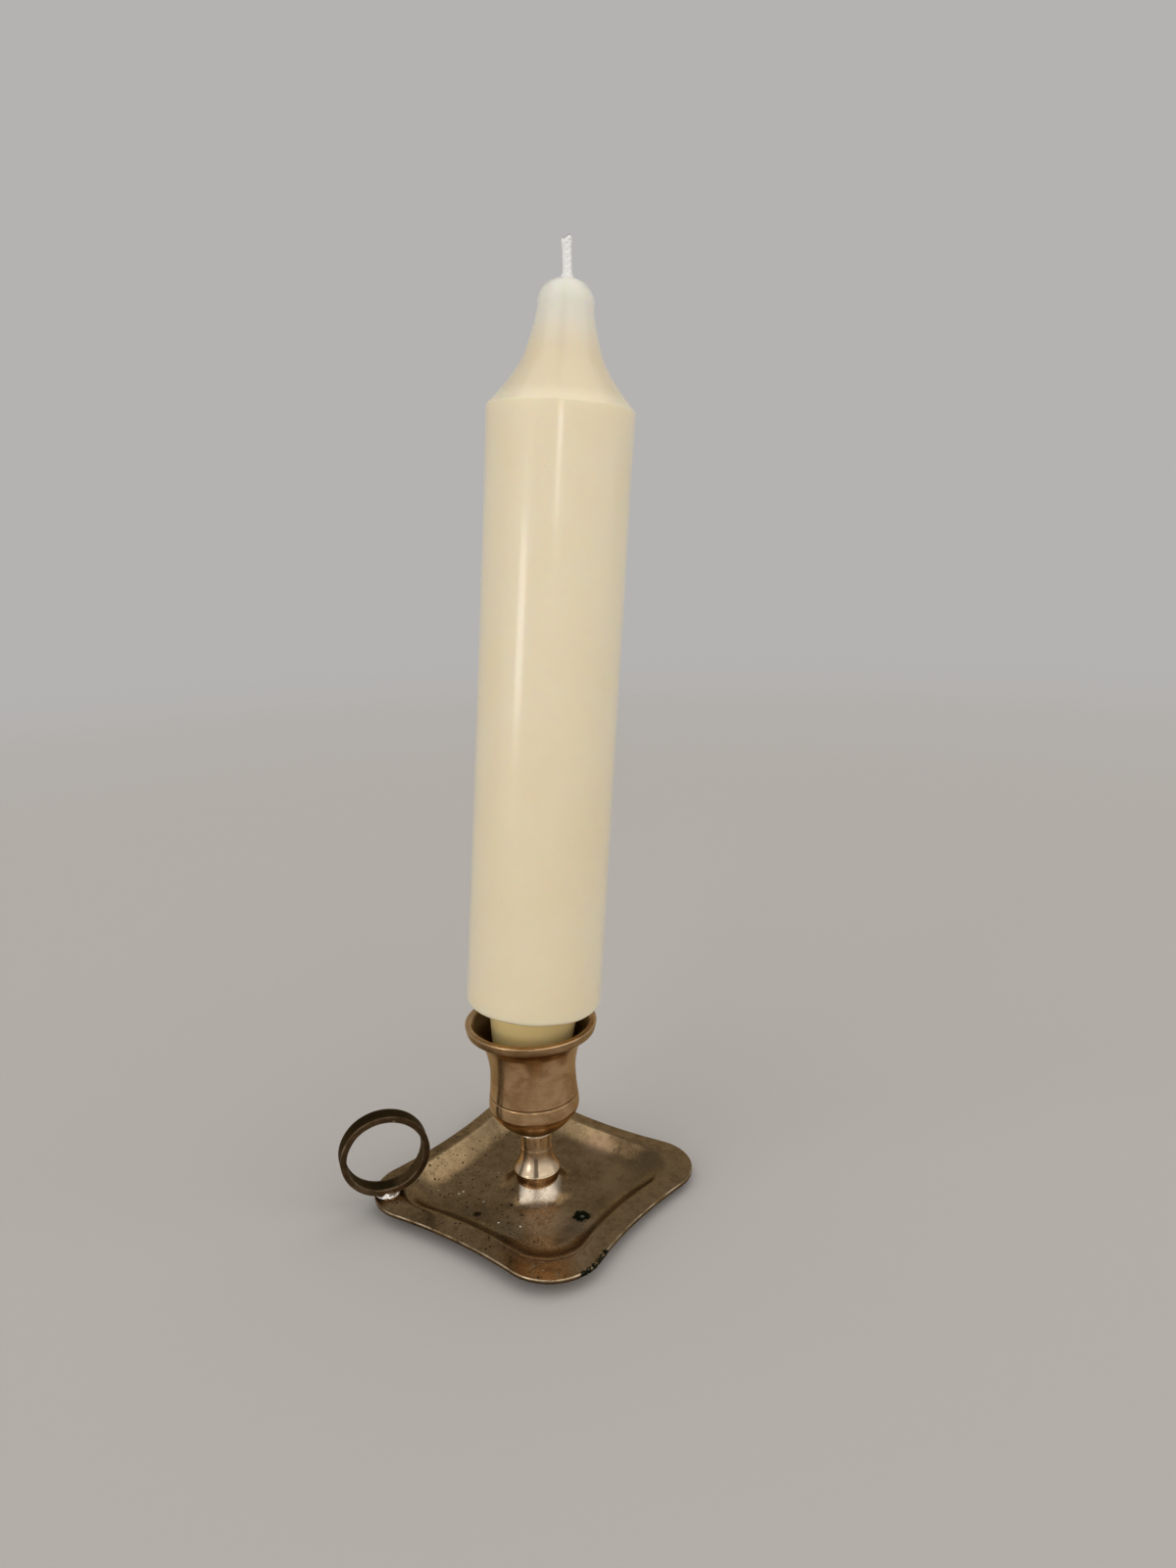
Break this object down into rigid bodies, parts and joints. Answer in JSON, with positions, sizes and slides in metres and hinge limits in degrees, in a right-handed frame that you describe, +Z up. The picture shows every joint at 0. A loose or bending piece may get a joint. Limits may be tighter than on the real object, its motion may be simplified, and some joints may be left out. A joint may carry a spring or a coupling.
{
  "type": "chamberstick",
  "caption": "Brass chamberstick: square dished tray with hollow sides, upright finger ring, turned stem and flared socket, holding a stout candle.",
  "frame": {"origin": "where the stem's axis meets the surface that the tray stands on", "axes": "+Z up along the stem; the tray's corners lie on X and Y, with the finger ring at the -X corner"},
  "size_m": [0.1052, 0.0956, 0.2661],
  "materials": {
    "tray_brass": "aged and spotted, worn bright on the edge",
    "turned_brass": "turned and polished, lightly tarnished",
    "screw_brass": "turned, dull",
    "dark_brass": "dark brown tarnish, worn along the edges",
    "solder": "bright soft solder",
    "wax": "ivory wax with a soft polish",
    "cotton": "braided cotton"
  },
  "bodies": {
    "holder": {"drip_tray": "tray_brass", "stem": "turned_brass", "candle_socket": "turned_brass", "fixing_screw": "screw_brass", "finger_ring": "dark_brass", "ring_solder": "solder"},
    "candle_and_wick": {"candle": "wax", "wick": "cotton"}
  },
  "joints": [
    {"name": "candle_lift", "type": "slide", "parent": "holder", "child": "candle_and_wick", "axis": [0.086, 0.0286, 0.9959], "range_m": [0, 0.03]}
  ]
}
